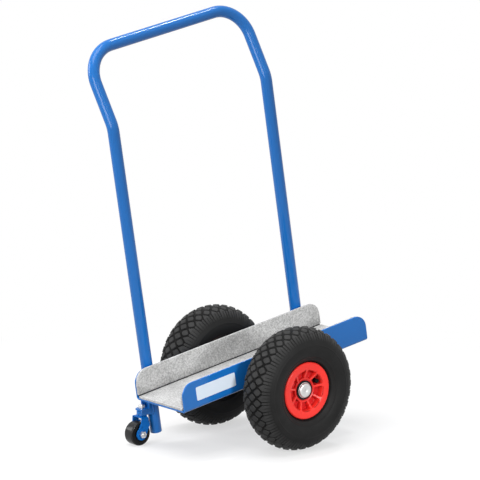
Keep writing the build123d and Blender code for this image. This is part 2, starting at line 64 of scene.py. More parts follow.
# Tray: a channel folded from 4 mm steel sheet, with its wall corners cut round.
# It is powder-coated blue: the baked coat rounds the sheet's edges and has a fine orange peel.
mm = 0.001
tray_edge = 0.8 * mm
same_place = 0.001 * mm
joints = {joint["name"]: joint for joint in frame["joints"]}
left_hub = Vector(joints["left_wheel_spin"]["pos_m"])
right_hub = Vector(joints["right_wheel_spin"]["pos_m"])
deck_up = Vector(frame["record"]["mounts"][0]["axis"]).normalized()
deck_side = Vector((0, 1, 0))
deck = Matrix((deck_side.cross(deck_up), deck_side, deck_up)).transposed().to_4x4()
deck.translation = (left_hub + right_hub) / 2


class Wire:
    """An output socket in a node tree. Arithmetic on it adds Math nodes to the tree."""

    def __init__(self, tree, socket=None):
        self.tree = tree
        self.socket = socket

    def node(self, kind, settings=None, sockets=None, out=0):
        """Add a node: its settings first, then its sockets, each a value or a Wire."""
        made = self.tree.nodes.new(kind)
        for name, value in (settings or {}).items():
            setattr(made, name, value)
        for name, value in (sockets or {}).items():
            socket = self.pick(made.inputs, name)
            if isinstance(value, Wire):
                self.tree.links.new(value.socket, socket)
            else:
                socket.default_value = value
        return None if out is None else Wire(self.tree, self.pick(made.outputs, out))

    @staticmethod
    def pick(sockets, name):
        """The enabled socket of that name, or at that place among the enabled ones."""
        enabled = [socket for socket in sockets if socket.enabled]
        if isinstance(name, int):
            return enabled[name]
        return next(socket for socket in enabled if socket.name == name)

    def other(self, name):
        """Another output of the same node."""
        return Wire(self.tree, self.pick(self.socket.node.outputs, name))

    def math(self, operation, *values):
        """A Math node on these values."""
        return self.node("ShaderNodeMath", {"operation": operation}, dict(enumerate(values)))

    def __add__(self, value):
        return self.math("ADD", self, value)

    def __radd__(self, value):
        return self.math("ADD", value, self)

    def __sub__(self, value):
        return self.math("SUBTRACT", self, value)

    def __rsub__(self, value):
        return self.math("SUBTRACT", value, self)

    def __mul__(self, value):
        return self.math("MULTIPLY", self, value)

    def __rmul__(self, value):
        return self.math("MULTIPLY", value, self)

    def __truediv__(self, value):
        return self.math("DIVIDE", self, value)

    def __mod__(self, value):
        return self.math("MODULO", self, value)

    def __abs__(self):
        return self.math("ABSOLUTE", self)

    def floor(self):
        return self.math("FLOOR", self)

    def least(self, value):
        return self.math("MINIMUM", self, value)

    def most(self, value):
        return self.math("MAXIMUM", self, value)

    def sine(self):
        return self.math("SINE", self)

    def cosine(self):
        return self.math("COSINE", self)


def new_finish(name):
    """A bare material, and the Wire that its nodes grow from."""
    material = bpy.data.materials.new(name)
    material.use_nodes = True
    material.node_tree.nodes.clear()
    return material, Wire(material.node_tree)


def surface(wire, sockets):
    """End a material in one Principled shader with these sockets."""
    shader = wire.node("ShaderNodeBsdfPrincipled", {}, sockets)
    wire.node("ShaderNodeOutputMaterial", {}, {"Surface": shader}, None)


def grain(wire, scale, detail=2.0):
    """Noise over the surface, from 0 to 1, with about this many grains a metre."""
    place = wire.node("ShaderNodeTexCoord", out="Object")
    return wire.node("ShaderNodeTexNoise", {}, {"Vector": place, "Scale": scale, "Detail": detail}, "Fac")


def bump(wire, height, depth):
    """A Bump node on a height from 0 to 1, this deep in metres."""
    return wire.node("ShaderNodeBump", {}, {"Height": height, "Distance": depth})


def shade(wire, factor, dark, light):
    """A colour between a dark and a light one."""
    sockets = {"Factor": factor, "A": (*dark, 1.0), "B": (*light, 1.0)}
    return wire.node("ShaderNodeMix", {"data_type": "RGBA"}, sockets)


def spread(value, low, high):
    """The stretch from low to high of a value, spread over 0 to 1."""
    sockets = {"Value": value, "From Min": low, "From Max": high}
    return value.node("ShaderNodeMapRange", {"interpolation_type": "SMOOTHSTEP"}, sockets)


blue_coat, wire = new_finish("blue_powder_coat")
cloud = grain(wire, 7.0)
peel = grain(wire, 420.0, 1.0)
surface(wire, {
    "Base Color": shade(wire, cloud, (0.008, 0.141, 0.470), (0.010, 0.154, 0.514)),
    "Roughness": 0.10 + 0.03 * peel,
    "Specular IOR Level": 0.3,
    "Normal": bump(wire, peel, 0.002 * mm),
})


def new_shape(name, sizes):
    """A geometry tree with a Geometry input and these named sizes: its start and its size Wires."""
    tree = bpy.data.node_groups.new(name, "GeometryNodeTree")
    tree.interface.new_socket("Geometry", in_out="INPUT", socket_type="NodeSocketGeometry")
    tree.interface.new_socket("Geometry", in_out="OUTPUT", socket_type="NodeSocketGeometry")
    for size in sizes:
        tree.interface.new_socket(size, in_out="INPUT", socket_type="NodeSocketFloat")
    start = Wire(tree).node("NodeGroupInput")
    return start, [start.other(size) for size in sizes]


def smooth_by_angle(limit):
    """A geometry tree that smooths faces and keeps the edges sharper than a limit, in degrees."""
    start = new_shape("smooth_by_angle", [])[0]
    angle = start.node("GeometryNodeInputMeshEdgeAngle", out="Unsigned Angle")
    edges = start.node(
        "GeometryNodeSetShadeSmooth",
        {"domain": "EDGE"},
        {"Geometry": start, "Shade Smooth": angle.math("LESS_THAN", angle, math.radians(limit))},
    )
    faces = start.node("GeometryNodeSetShadeSmooth", {"domain": "FACE"}, {"Geometry": edges})
    start.node("NodeGroupOutput", {}, {"Geometry": faces}, None)
    return start.tree


soft_shading = smooth_by_angle(limit=30)


def dress(node, finish, edge=0.0):
    """Give a CAD node its finish and smooth shading, and round its edges by this much."""
    piece = frame["nodes"][node]
    piece.data.materials.clear()
    piece.data.materials.append(finish)
    piece.modifiers.new("joined", "WELD").merge_threshold = same_place
    piece.modifiers.new("smooth", "NODES").node_group = soft_shading
    if edge:
        rounding = piece.modifiers.new("edges", "BEVEL")
        rounding.width = edge
        rounding.segments = 3
        rounding.angle_limit = math.radians(40)
        rounding.use_clamp_overlap = False
        rounding.harden_normals = True


dress("tray", blue_coat, tray_edge)


# Felt lining: three strips of grey needled felt, 5 mm thick, glued to the tray's floor and walls.
# The wall strips start above a black strip, painted shade for the dark seam under them, and are cut to the walls'
# round corners.
# The strip by the hoop stands a little proud of its wall, and the other ends just below its edge.
felt_length = 505 * mm
felt_thickness = 5 * mm
felt_floor_width = 141.5 * mm
felt_hoop_height = 51 * mm
felt_open_height = 47.8 * mm
felt_corner = 28 * mm
felt_floor_at = 19.2 * mm
felt_wall_at = 76 * mm
felt_wall_bottom = 26.4 * mm
felt_cell = 4 * mm
felt_wave = 0.5 * mm
felt_waves = 38.0
felt_edge = 0.8 * mm
seam_shade_short = 2 * mm
seam_shade_along = (seam_shade_short - felt_length / 2, felt_length / 2 - seam_shade_short)
seam_shade_across = (71.6 * mm, 75.9 * mm)
seam_shade_up = (23.8 * mm, 26.9 * mm)

felt_finish, wire = new_finish("grey_needled_felt")
tufts = grain(wire, 330.0, 3.0)
fibres = grain(wire, 1100.0, 2.0)
patches = grain(wire, 28.0, 2.0)
mottle = spread(patches * 0.2 + tufts * 0.55 + fibres * 0.25, 0.34, 0.66)
surface(wire, {
    "Base Color": shade(wire, mottle, (0.28, 0.28, 0.28), (0.635, 0.635, 0.63)),
    "Roughness": 0.95,
    "Sheen Weight": 0.25,
    "Sheen Roughness": 0.6,
    "Normal": bump(wire, tufts * 0.6 + fibres * 0.4, 0.9 * mm),
})


def put(name, data):
    """A new object in the scene, of a mesh, a curve, a lamp or a camera."""
    piece = bpy.data.objects.new(name, data)
    bpy.context.collection.objects.link(piece)
    return piece


def stand_in(piece, body, slot, *nodes):
    """Let a piece ride on a body in place of these CAD nodes. The slot is not used."""
    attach(piece, body)
    if nodes:
        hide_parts(*nodes)


def felt_strip(name, node, height, corner, held_at):
    """One strip: a sheet standing on its long edge, thickened, with its edges rounded by wear."""
    columns = round(felt_length / felt_cell)
    rows = round(height / felt_cell)
    sheet = bmesh.new()
    grid = []
    for column in range(columns + 1):
        along = felt_length * (column / columns - 0.5)
        into_corner = max(0.0, abs(along) - felt_length / 2 + corner)
        top = height - corner + math.sqrt(max(0.0, corner**2 - into_corner**2))
        line = []
        for row in range(rows + 1):
            up = top * row / rows
            uneven = felt_wave * (0.5 + noise.noise(Vector((along, up, height)) * felt_waves))
            line.append(sheet.verts.new((along, up, uneven)))
        grid.append(line)
    for left, right in zip(grid, grid[1:]):
        for row in range(rows):
            sheet.faces.new((left[row], right[row], right[row + 1], left[row + 1]))
    mesh = bpy.data.meshes.new(name)
    sheet.to_mesh(mesh)
    sheet.free()
    mesh.materials.append(felt_finish)
    mesh.shade_smooth()
    mesh.transform(deck @ held_at)
    piece = put(name, mesh)
    thick = piece.modifiers.new("thickness", "SOLIDIFY")
    thick.thickness = felt_thickness
    thick.offset = 1.0
    worn = piece.modifiers.new("cut_edge", "BEVEL")
    worn.width = felt_edge
    worn.segments = 3
    worn.angle_limit = math.radians(50)
    stand_in(piece, "frame", "felt", node)
    return piece


floor_up = Matrix.Translation((0, -felt_floor_width / 2, felt_floor_at))
upright = Matrix.Rotation(math.pi / 2, 4, "X")
hoop_wall_in = Matrix.Translation((0, felt_wall_at, felt_wall_bottom)) @ upright
open_wall_in = Matrix.Rotation(math.pi, 4, "Z") @ hoop_wall_in
felt_cut_off = (2 - math.pi / 2) * felt_corner**2
floor_felt = felt_strip("floor_felt", "felt_floor", felt_floor_width, 0.0, floor_up)
hoop_wall_felt = felt_strip(
    "hoop_wall_felt",
    "felt_hoop_wall",
    felt_hoop_height,
    felt_corner,
    hoop_wall_in,
)
open_wall_felt = felt_strip(
    "open_wall_felt",
    "felt_open_wall",
    felt_open_height,
    felt_corner,
    open_wall_in,
)
for wall_felt, height in ((hoop_wall_felt, felt_hoop_height), (open_wall_felt, felt_open_height)):
    felt_length * height - felt_cut_off


def lofted(shape, rings):
    """Add a closed form to a bmesh: faces from each ring of points to the next, and over both ends."""
    loops = [[shape.verts.new(point) for point in ring] for ring in rings]
    for low, high in zip(loops, loops[1:]):
        for here in range(len(low)):
            there = (here + 1) % len(low)
            shape.faces.new((low[here], low[there], high[there], high[here]))
    shape.faces.new(reversed(loops[0]))
    shape.faces.new(loops[-1])


def finished(shape, name, finish, crease=35):
    """A bmesh as a mesh with its finish: faces outwards, smooth up to a crease angle in degrees."""
    bmesh.ops.recalc_face_normals(shape, faces=shape.faces)
    mesh = bpy.data.meshes.new(name)
    shape.to_mesh(mesh)
    shape.free()
    mesh.materials.append(finish)
    mesh.shade_smooth()
    mesh.set_sharp_from_angle(angle=math.radians(crease))
    return mesh


# A black strip in the seam between the floor felt and the wall felts: painted shade in the seam.
seam_shade_finish, wire = new_finish("black_seam_shade")
surface(wire, {
    "Base Color": shade(wire, grain(wire, 200.0), (0.006, 0.006, 0.006), (0.014, 0.014, 0.014)),
    "Roughness": 0.6,
})
seam_shade_shape = bmesh.new()
for wall in (-1, 1):
    seam_shade_section = [(wall * across, up) for up in seam_shade_up for across in seam_shade_across]
    seam_shade_section[2:] = reversed(seam_shade_section[2:])
    lofted(seam_shade_shape, [[(along, *corner) for corner in seam_shade_section] for along in seam_shade_along])
seam_shade_mesh = finished(seam_shade_shape, "felt_seam_shade", seam_shade_finish)
seam_shade_mesh.transform(deck)
stand_in(put("felt_seam_shade", seam_shade_mesh), "frame", "felt")


# Label: a blank sticker of white coated paper, cut with round corners.
# It is stuck to the outside of the open side's wall, near the castor's end.
label_length = 104 * mm
label_height = 29 * mm
label_corner = 2.5 * mm
label_thickness = 0.2 * mm
label_along = -165 * mm
label_up = 46.3 * mm
wall_face = -80 * mm
corner_steps = 5

label_paper, wire = new_finish("label_paper")
pulp = grain(wire, 600.0, 3.0)
surface(wire, {
    "Base Color": shade(wire, pulp, (0.68, 0.77, 0.88), (0.73, 0.82, 0.92)),
    "Roughness": 0.42 + 0.12 * pulp,
    "Normal": bump(wire, pulp, 0.02 * mm),
})

label_outline = []
for corner in range(4):
    side_x = 1 if corner in (0, 3) else -1
    side_y = 1 if corner in (0, 1) else -1
    for step in range(corner_steps + 1):
        turn = (corner + step / corner_steps) * math.pi / 2
        along = side_x * (label_length / 2 - label_corner) + label_corner * math.cos(turn)
        up = side_y * (label_height / 2 - label_corner) + label_corner * math.sin(turn)
        label_outline.append((along, up))

label_shape = bmesh.new()
lofted(label_shape, [[(x, height, y) for x, y in label_outline] for height in (0.0, -label_thickness)])
label_mesh = finished(label_shape, "label", label_paper)
label_mesh.transform(deck @ Matrix.Translation((label_along, wall_face, label_up)))
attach(put("label", label_mesh), "frame")


# Hoop handle: one length of 25 mm steel tube bent four times, powder-coated with the tray.
# Its legs lie against the tray's far wall, and the top leans out over that side.
tube_radius = 12.5 * mm
tube_wall = 2 * mm
tube_sides = 48
bend_steps = 20
leg_x = 206 * mm
leg_y = 92.7 * mm
long_leg_foot = -73.8 * mm
short_leg_foot = 21.2 * mm
bend_z = 590.2 * mm
top_section = 162 * mm
top_lean = math.radians(22.5)
bar_y = leg_y + top_section * math.sin(top_lean)
bar_z = bend_z + top_section * math.cos(top_lean)
leg_bend_radius = 60 * mm
corner_radius = 68 * mm
sawn_edge = 0.5 * mm


def round_section(sides, radius):
    """A circle of this many sides and this radius, to sweep along a path."""
    sockets = {"Resolution": sides, "Radius": radius}
    return radius.node("GeometryNodeCurvePrimitiveCircle", {"mode": "RADIUS"}, sockets)


def close_shape(wire, finish):
    """End a geometry tree: real geometry, smooth, with its finish."""
    real = wire.node("GeometryNodeRealizeInstances", {}, {"Geometry": wire})
    smooth = wire.node("GeometryNodeSetShadeSmooth", {"domain": "FACE"}, {"Geometry": real})
    made = wire.node("GeometryNodeSetMaterial", {}, {"Geometry": smooth, "Material": finish})
    wire.node("NodeGroupOutput", {}, {"Geometry": made}, None)
    return wire.tree


def route(name, lines):
    """A curve through points on the deck: each line is a list of places and their bend radii."""
    curve = bpy.data.curves.new(name, "CURVE")
    curve.dimensions = "3D"
    for line in lines:
        spline = curve.splines.new("POLY")
        spline.points.add(len(line) - 1)
        for point, (place, bend_radius) in zip(spline.points, line):
            point.co = (*(deck @ Vector(place)), 1.0)
            point.radius = bend_radius
    return curve


def grow(name, data, tree, sizes):
    """Run a geometry tree on a mesh or curve with these sizes, and give the plain mesh."""
    carrier = put(name, data)
    modifier = carrier.modifiers.new("shape", "NODES")
    modifier.node_group = tree
    for item in tree.interface.items_tree:
        if item.name in sizes:
            modifier[item.identifier] = sizes[item.name]
    evaluated = carrier.evaluated_get(bpy.context.evaluated_depsgraph_get())
    mesh = bpy.data.meshes.new_from_object(evaluated)
    mesh.name = name
    bpy.data.objects.remove(carrier)
    return mesh


start, (radius, sides, steps) = new_shape("bent_tube", ["Tube radius", "Tube sides", "Bend steps"])
bend = start.node("GeometryNodeInputRadius")
bends = {"Curve": start, "Count": steps, "Radius": bend}
bent = start.node("GeometryNodeFilletCurve", {"mode": "POLY"}, bends)
swept = {"Curve": bent, "Profile Curve": round_section(sides, radius)}
tube = start.node("GeometryNodeCurveToMesh", {}, swept)
bent_tube = close_shape(tube, blue_coat)

hoop_line = [
    ((-leg_x, leg_y, long_leg_foot), 0.0),
    ((-leg_x, leg_y, bend_z), leg_bend_radius),
    ((-leg_x, bar_y, bar_z), corner_radius),
    ((leg_x, bar_y, bar_z), corner_radius),
    ((leg_x, leg_y, bend_z), leg_bend_radius),
    ((leg_x, leg_y, short_leg_foot), 0.0),
]
hoop_sizes = {"Tube radius": tube_radius, "Tube sides": tube_sides, "Bend steps": bend_steps}
hoop = put("hoop", grow("hoop", route("hoop_route", [hoop_line]), bent_tube, hoop_sizes))
hoop_wall = hoop.modifiers.new("tube_wall", "SOLIDIFY")
hoop_wall.thickness = tube_wall
hoop_wall.offset = -1.0
hoop_ends = hoop.modifiers.new("sawn_ends", "BEVEL")
hoop_ends.width = sawn_edge
hoop_ends.segments = 2
hoop_ends.angle_limit = math.radians(60)
stand_in(hoop, "frame", "blue_paint", "hoop_handle")


# Weld beads: they hold each leg to the tray's wall along both sides, the axle tube to the tray's floor,
# and the castor's bracket to its leg.
# They are laid by hand before the coat, in overlapping ripples that wander a little.
leg_bead = 3.2 * mm
leg_bead_x = 10.3 * mm
leg_bead_y = 82.2 * mm
leg_bead_z = (22.2 * mm, 71.2 * mm)
floor_bead = 2.6 * mm
floor_bead_x = 12.5 * mm
floor_bead_z = 12.9 * mm
floor_bead_y = 69 * mm
bracket_bead = 1.8 * mm
bracket_bead_x = -leg_x - 7.6 * mm
bracket_bead_y = 81.4 * mm
bracket_bead_z = (-26 * mm, 9.5 * mm)
ripple_step = 3.4 * mm
ripple_height = 0.16
ripple_points = 6
bead_sides = 10
bead_start = 0.35
bead_rise = 0.6
bead_wander = 1.2 * mm
bead_wanders = 45.0

start, sizes = new_shape("weld_bead", ["Bead radius", "Bead sides", "Ripple step", "Ripple height"])
radius, sides, step, height = sizes
spacing = {"Curve": start, "Length": step / ripple_points}
path = start.node("GeometryNodeResampleCurve", {"mode": "LENGTH"}, spacing)
along = start.node("GeometryNodeSplineParameter", out="Length")
whole = start.node("GeometryNodeSplineLength", out="Length")
ripple = abs((along / step * math.pi).sine())
swell = (along.least(whole - along) / radius * bead_rise + bead_start).least(1.0)
place = start.node("GeometryNodeInputPosition")
wander = {"Vector": place, "Scale": bead_wanders, "Detail": 1.0}
drift = start.node("ShaderNodeTexNoise", {}, wander, "Color")
shift = start.node(
    "ShaderNodeVectorMath",
    {"operation": "MULTIPLY_ADD"},
    {0: drift, 1: (bead_wander,) * 3, 2: (-bead_wander / 2,) * 3},
)
laid = start.node("GeometryNodeSetPosition", {}, {"Geometry": path, "Offset": shift})
bead = start.node(
    "GeometryNodeCurveToMesh",
    {},
    {
        "Curve": laid,
        "Profile Curve": round_section(sides, radius),
        "Scale": (1 - height + height * ripple) * swell,
        "Fill Caps": True,
    },
)
weld_bead = close_shape(bead, blue_coat)


def weld(name, lines, radius, *nodes):
    """Lay weld beads along straight lines on the deck."""
    curve = route(name, [[(end, 0.0) for end in line] for line in lines])
    sizes = {
        "Bead radius": radius,
        "Bead sides": bead_sides,
        "Ripple step": ripple_step,
        "Ripple height": ripple_height,
    }
    stand_in(put(name, grow(name, curve, weld_bead, sizes)), "frame", "blue_paint", *nodes)


leg_beads = []
for bead_x in (-leg_x - leg_bead_x, -leg_x + leg_bead_x, leg_x - leg_bead_x, leg_x + leg_bead_x):
    leg_beads.append([(bead_x, leg_bead_y, bead_z) for bead_z in leg_bead_z])
floor_beads = []
for bead_x in (-floor_bead_x, floor_bead_x):
    floor_beads.append([(bead_x, -floor_bead_y, floor_bead_z), (bead_x, floor_bead_y, floor_bead_z)])
weld("leg_beads", leg_beads, leg_bead, "leg_welds")
weld("axle_tube_beads", floor_beads, floor_bead, "axle_tube_welds")
bracket_line = [(bracket_bead_x, bracket_bead_y, bead_z) for bead_z in bracket_bead_z]
weld("bracket_bead", [bracket_line], bracket_bead)


# Axle and axle tube: a bar of drawn steel, 20 mm across, held in a blue-coated tube under the tray.
# The wheels run on its bare ends, outside the tube.
axle_edge = 0.5 * mm

drawn_steel, wire = new_finish("drawn_steel")
streaks = grain(wire, 300.0, 2.0)
surface(wire, {
    "Base Color": shade(wire, streaks, (0.42, 0.42, 0.42), (0.58, 0.58, 0.57)),
    "Metallic": 1.0,
    "Roughness": 0.30 + 0.15 * streaks,
})
dress("axle_tube", blue_coat, axle_edge)
dress("axle", drawn_steel, axle_edge)


# Rims: each is moulded in one piece of glossy red plastic, with nine pockets between its spokes.
# The two bead flanges, the drop between them and the hub barrel are part of the moulding.
# Its red is painted darker down in the pockets: painted shade, where little light reaches.
rim_edge = 0.7 * mm
painted_pocket_shade = (6 * mm, 17 * mm)

red_plastic, wire = new_finish("red_moulded_plastic")
cloud = grain(wire, 30.0)
skin = grain(wire, 900.0, 1.0)
place = wire.node("ShaderNodeTexCoord", out="Object")
across = abs(wire.node("ShaderNodeSeparateXYZ", {}, {"Vector": place}, "Y"))
rim_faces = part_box("left_rim")
# The red darkens with depth in the pockets: painted shade.
depth = (rim_faces[1].y - across).least(across - rim_faces[0].y)
deep = spread(depth, *painted_pocket_shade)
surface(wire, {
    "Base Color": shade(wire, cloud * 0.3 + 0.7 * deep, (0.88, 0.031, 0.020), (0.58, 0.011, 0.015)),
    "Roughness": 0.30 + 0.12 * skin,
    "Specular IOR Level": 0.4,
    "Normal": bump(wire, skin, 0.03 * mm),
})
wheel_sides = ("left", "right")
for side in wheel_sides:
    dress(f"{side}_rim", red_plastic, rim_edge)


# Tyres: black rubber, 260 mm across, moulded with four staggered rows of diamond blocks.
# The shoulder lugs run down the sidewall as ribs, each split by a thin slot, with a low pad between two.
# The blocks are greyer than the sidewalls. The floor between them and the seam by the rim are painted near black:
# painted shade in the grooves and in the seam.
tyre_radius = 129.9 * mm
crown_radius = 57.1 * mm
shoulder_along = 35.2 * mm
shoulder_round = 4 * mm
side_out = -0.71 * mm
side_up = 92.43 * mm
side_radius = 43.23 * mm
side_from = math.radians(51.23)
side_rib_ends = (math.radians(79.5), math.radians(134.7))
# Ribs round the sidewall: the distance from the axle, the height, and the width
side_ribs = (
    (97.5 * mm, 0.6 * mm, 0.9 * mm),
    (73 * mm, 0.8 * mm, 1.1 * mm),
    (65 * mm, 0.7 * mm, 1.0 * mm),
)
side_points = 46
floor_depth = 2.3 * mm
floor_end = math.radians(31.5)
floor_points = 9
# Places out and up from the wheel's middle, between the tread's floor and the sidewall
shoulder_floor = (
    (32.2 * mm, 116.9 * mm),
    (36.0 * mm, 112.7 * mm),
    (39.0 * mm, 107.7 * mm),
    (41.0 * mm, 103.6 * mm),
)
# The bead, where the tyre sits on the rim
bead_line = ((28 * mm, 60 * mm), (26.5 * mm, 52 * mm), (17 * mm, 52 * mm))
cavity_out = 5 * mm
cavity_up = 90 * mm
cavity_radius = 31.3 * mm
cavity_ends = (math.radians(157.4), 0.0)
cavity_points = 10
tread_count = 34
tread_columns = 4
column_step = 13 * mm
shoulder_step = 65 * mm
carcass_steps = 4 * tread_count
diamond_round = 7.6 * mm
diamond_across = 8.3 * mm
diamond_bulge = 1.3
diamond_steps = 12
block_root = -6.5 * mm
# Rings of a diamond block: the share of its size, and the height
diamond_rings = ((1.1, block_root), (1.0, -0.8 * mm), (0.92, 0.0), (0.4, 0.0))
# Cuts of a lug: the place across the tread, half the width, the top, and the depth of the slot
lug_rows = (
    (22.0 * mm, 0.9 * mm, -0.8 * mm, 0.02 * mm),
    (26.5 * mm, 4.0 * mm, 0.0, 0.02 * mm),
    (31.0 * mm, 7.2 * mm, 0.0, 0.02 * mm),
    (32.0 * mm, 7.3 * mm, 0.0, 1.6 * mm),
    (46.0 * mm, 7.0 * mm, -0.1 * mm, 1.4 * mm),
    (52.0 * mm, 6.3 * mm, -0.8 * mm, 0.5 * mm),
)
lug_slot = 0.7 * mm
lug_edge = 0.6 * mm
# Cuts of a pad: the place across the tread, half the width, and the top
pad_rows = (
    (29.8 * mm, 1.2 * mm, -1.4 * mm),
    (32.0 * mm, 2.6 * mm, -0.7 * mm),
    (47.5 * mm, 2.7 * mm, -0.3 * mm),
    (50.5 * mm, 2.2 * mm, -0.9 * mm),
)
shoulder_fade = (103 * mm, 119 * mm)
painted_rim_seam_shade = (62 * mm, 66 * mm)
seam_shade_share = 0.15


def from_axle(wire, hub):
    """The distance of a place on the surface from the line of an axle through this hub."""
    place = wire.node("ShaderNodeTexCoord", out="Object")
    axle_place = (hub.x, 0.0, hub.z)
    offset = wire.node("ShaderNodeVectorMath", {"operation": "SUBTRACT"}, {0: place, 1: axle_place})
    across = wire.node("ShaderNodeVectorMath", {"operation": "MULTIPLY"}, {0: offset, 1: (1.0, 0.0, 1.0)})
    return wire.node("ShaderNodeVectorMath", {"operation": "LENGTH"}, {0: across}, "Value")


def rubber(name, side_grey, tread_grey):
    """Black rubber with a moulded skin, of one grey level on the sidewall and another on the tread."""
    finish, wire = new_finish(name)
    from_line = from_axle(wire, left_hub)
    outwards = spread(from_line, *shoulder_fade)
    # Darker towards the rim: painted shade in the seam where the tyre meets the rim.
    off_seam_shade = spread(from_line, *painted_rim_seam_shade)
    cloud = grain(wire, 40.0, 4.0)
    skin = grain(wire, 800.0, 2.0)
    grey = (side_grey + (tread_grey - side_grey) * outwards) * (0.7 + 0.6 * cloud)
    grey = grey * (seam_shade_share + (1 - seam_shade_share) * off_seam_shade)
    black = wire.node("ShaderNodeCombineColor", {}, {"Red": grey, "Green": grey, "Blue": grey})
    surface(wire, {
        "Base Color": black,
        "Roughness": 0.40 + 0.2 * skin,
        "Specular IOR Level": 0.09,
        "Normal": bump(wire, skin, 0.05 * mm),
    })
    return finish


# On the carcass the tread's floor between the blocks is near black: painted shade down in the grooves.
tyre_rubber = rubber("tyre_rubber", 0.014, 0.003)
tread_rubber = rubber("tread_rubber", 0.014, 0.033)

start, sizes = new_shape("tyre_tread", [
    "Blocks round",
    "Columns",
    "Column step",
    "First stagger",
    "Tyre radius",
    "Crown radius",
    "Shoulder along",
    "Side radius",
    "Side from",
])
count, columns, step, first, outer, crown, shoulder, flank, flank_from = sizes

# The blocks stand on a flat grid, each column half a step off the last, and face away from the middle
index = start.node("GeometryNodeInputIndex")
column = (index / count).floor()
stagger = ((column + first) % 2) * 0.5
turn = (index - column * count + stagger) / count
across = (column - (columns - 1) * 0.5) * step
spot = start.node("ShaderNodeCombineXYZ", {}, {"X": turn * outer * math.tau, "Y": across})
spots = start.node("GeometryNodePoints", {}, {"Count": count * columns, "Position": spot})
facing = across.math("LESS_THAN", across, 0.0) * math.pi
euler = start.node("ShaderNodeCombineXYZ", {}, {"Z": facing})
turned_to = start.node("FunctionNodeEulerToRotation", {}, {"Euler": euler})
blocks = start.node(
    "GeometryNodeInstanceOnPoints",
    {},
    {"Points": spots, "Instance": start, "Rotation": turned_to},
)
flat = start.node("GeometryNodeRealizeInstances", {}, {"Geometry": blocks})

# The grid is bent over the crown and down the sidewalls, and then round the axle
place = start.node("GeometryNodeInputPosition")
around = start.node("ShaderNodeSeparateXYZ", {}, {"Vector": place}, "X")
sideways = around.other("Y")
height = around.other("Z")
reach = abs(sideways)
beyond = (reach - shoulder).most(0.0)
lean = reach.least(shoulder) / crown
tip = flank_from + beyond / flank
past_edge = ((reach - shoulder) / shoulder_round + 0.5).most(0.0).least(1.0)
normal = lean + beyond / flank + (flank_from - shoulder / crown) * past_edge
out = crown * lean.sine() + flank * (tip.sine() - flank_from.sine()) + height * normal.sine()
up = outer - crown + crown * lean.cosine() + flank * (tip.cosine() - flank_from.cosine())
up = up + height * normal.cosine()
angle = around / outer
side = sideways.math("SIGN", sideways)
wrapped = {"X": up * angle.cosine(), "Y": -1 * out * side, "Z": up * angle.sine()}
round_tyre = start.node("ShaderNodeCombineXYZ", {}, wrapped)
bent = start.node("GeometryNodeSetPosition", {}, {"Geometry": flat, "Position": round_tyre})
tyre_tread = close_shape(bent, tyre_rubber)


def diamond_ring(share, height):
    """The rounded outline of a tread block, at a share of its size and a height."""
    ring = []
    for step in range(diamond_steps):
        turn = math.tau * step / diamond_steps
        x = math.copysign(abs(math.cos(turn)) ** (2 / diamond_bulge), math.cos(turn))
        y = math.copysign(abs(math.sin(turn)) ** (2 / diamond_bulge), math.sin(turn))
        ring.append((share * diamond_round * x, share * diamond_across * y, height))
    return ring


def lug_ring(across, half, top, slot):
    """The outline of a shoulder lug, cut across the tread: a block with a slot along its middle."""
    right_half = [
        (lug_slot, top - slot),
        (lug_slot, top),
        (half - lug_edge, top),
        (half, top - lug_edge),
        (half, block_root),
    ]
    outline = [(-x, z) for x, z in reversed(right_half)] + right_half
    return [(x, across - shoulder_step / 2, z) for x, z in outline]


def pad_ring(across, half, top):
    """The outline of the low pad between two lugs, cut across the tread."""
    middle = math.pi * tyre_radius / tread_count
    outline = ((-half, block_root), (-half, top), (half, top), (half, block_root))
    return [(middle + x, across - shoulder_step / 2, z) for x, z in outline]


def turned(shape, outline, steps):
    """Add a turned form to a bmesh: a closed outline of places out and up from the wheel's middle."""
    rings = []
    for step in range(steps):
        turn = math.tau * step / steps
        along = math.cos(turn)
        up = math.sin(turn)
        rings.append([shape.verts.new((r * along, -out, r * up)) for out, r in outline])
    for here, there in zip(rings, rings[1:] + rings[:1]):
        for point in range(len(outline)):
            beyond = (point + 1) % len(outline)
            if outline[point][1] or outline[beyond][1]:
                shape.faces.new((here[point], here[beyond], there[beyond], there[point]))
    bmesh.ops.remove_doubles(shape, verts=shape.verts, dist=same_place)


def arc(out, up, radius, ends, points):
    """Points along an arc about a place out and up from the wheel's middle; angle 0 is straight up."""
    angles = [ends[0] + (ends[1] - ends[0]) * point / points for point in range(points + 1)]
    return [(out + radius * math.sin(angle), up + radius * math.cos(angle)) for angle in angles]


crown_middle = tyre_radius - crown_radius
floor_radius = crown_radius - floor_depth
half_section = arc(0.0, crown_middle, floor_radius, (0.0, floor_end), floor_points)
half_section += shoulder_floor
for out, up in arc(side_out, side_up, side_radius, side_rib_ends, side_points):
    rib = sum(high * math.exp(-(((up - at) / wide) ** 2)) for at, high, wide in side_ribs)
    rib_out = rib * (out - side_out) / side_radius
    rib_up = rib * (up - side_up) / side_radius
    half_section.append((out + rib_out, up + rib_up))
half_section += bead_line
half_section += arc(cavity_out, cavity_up, cavity_radius, cavity_ends, cavity_points)
tyre_section = half_section + [(-out, up) for out, up in reversed(half_section[1:])]

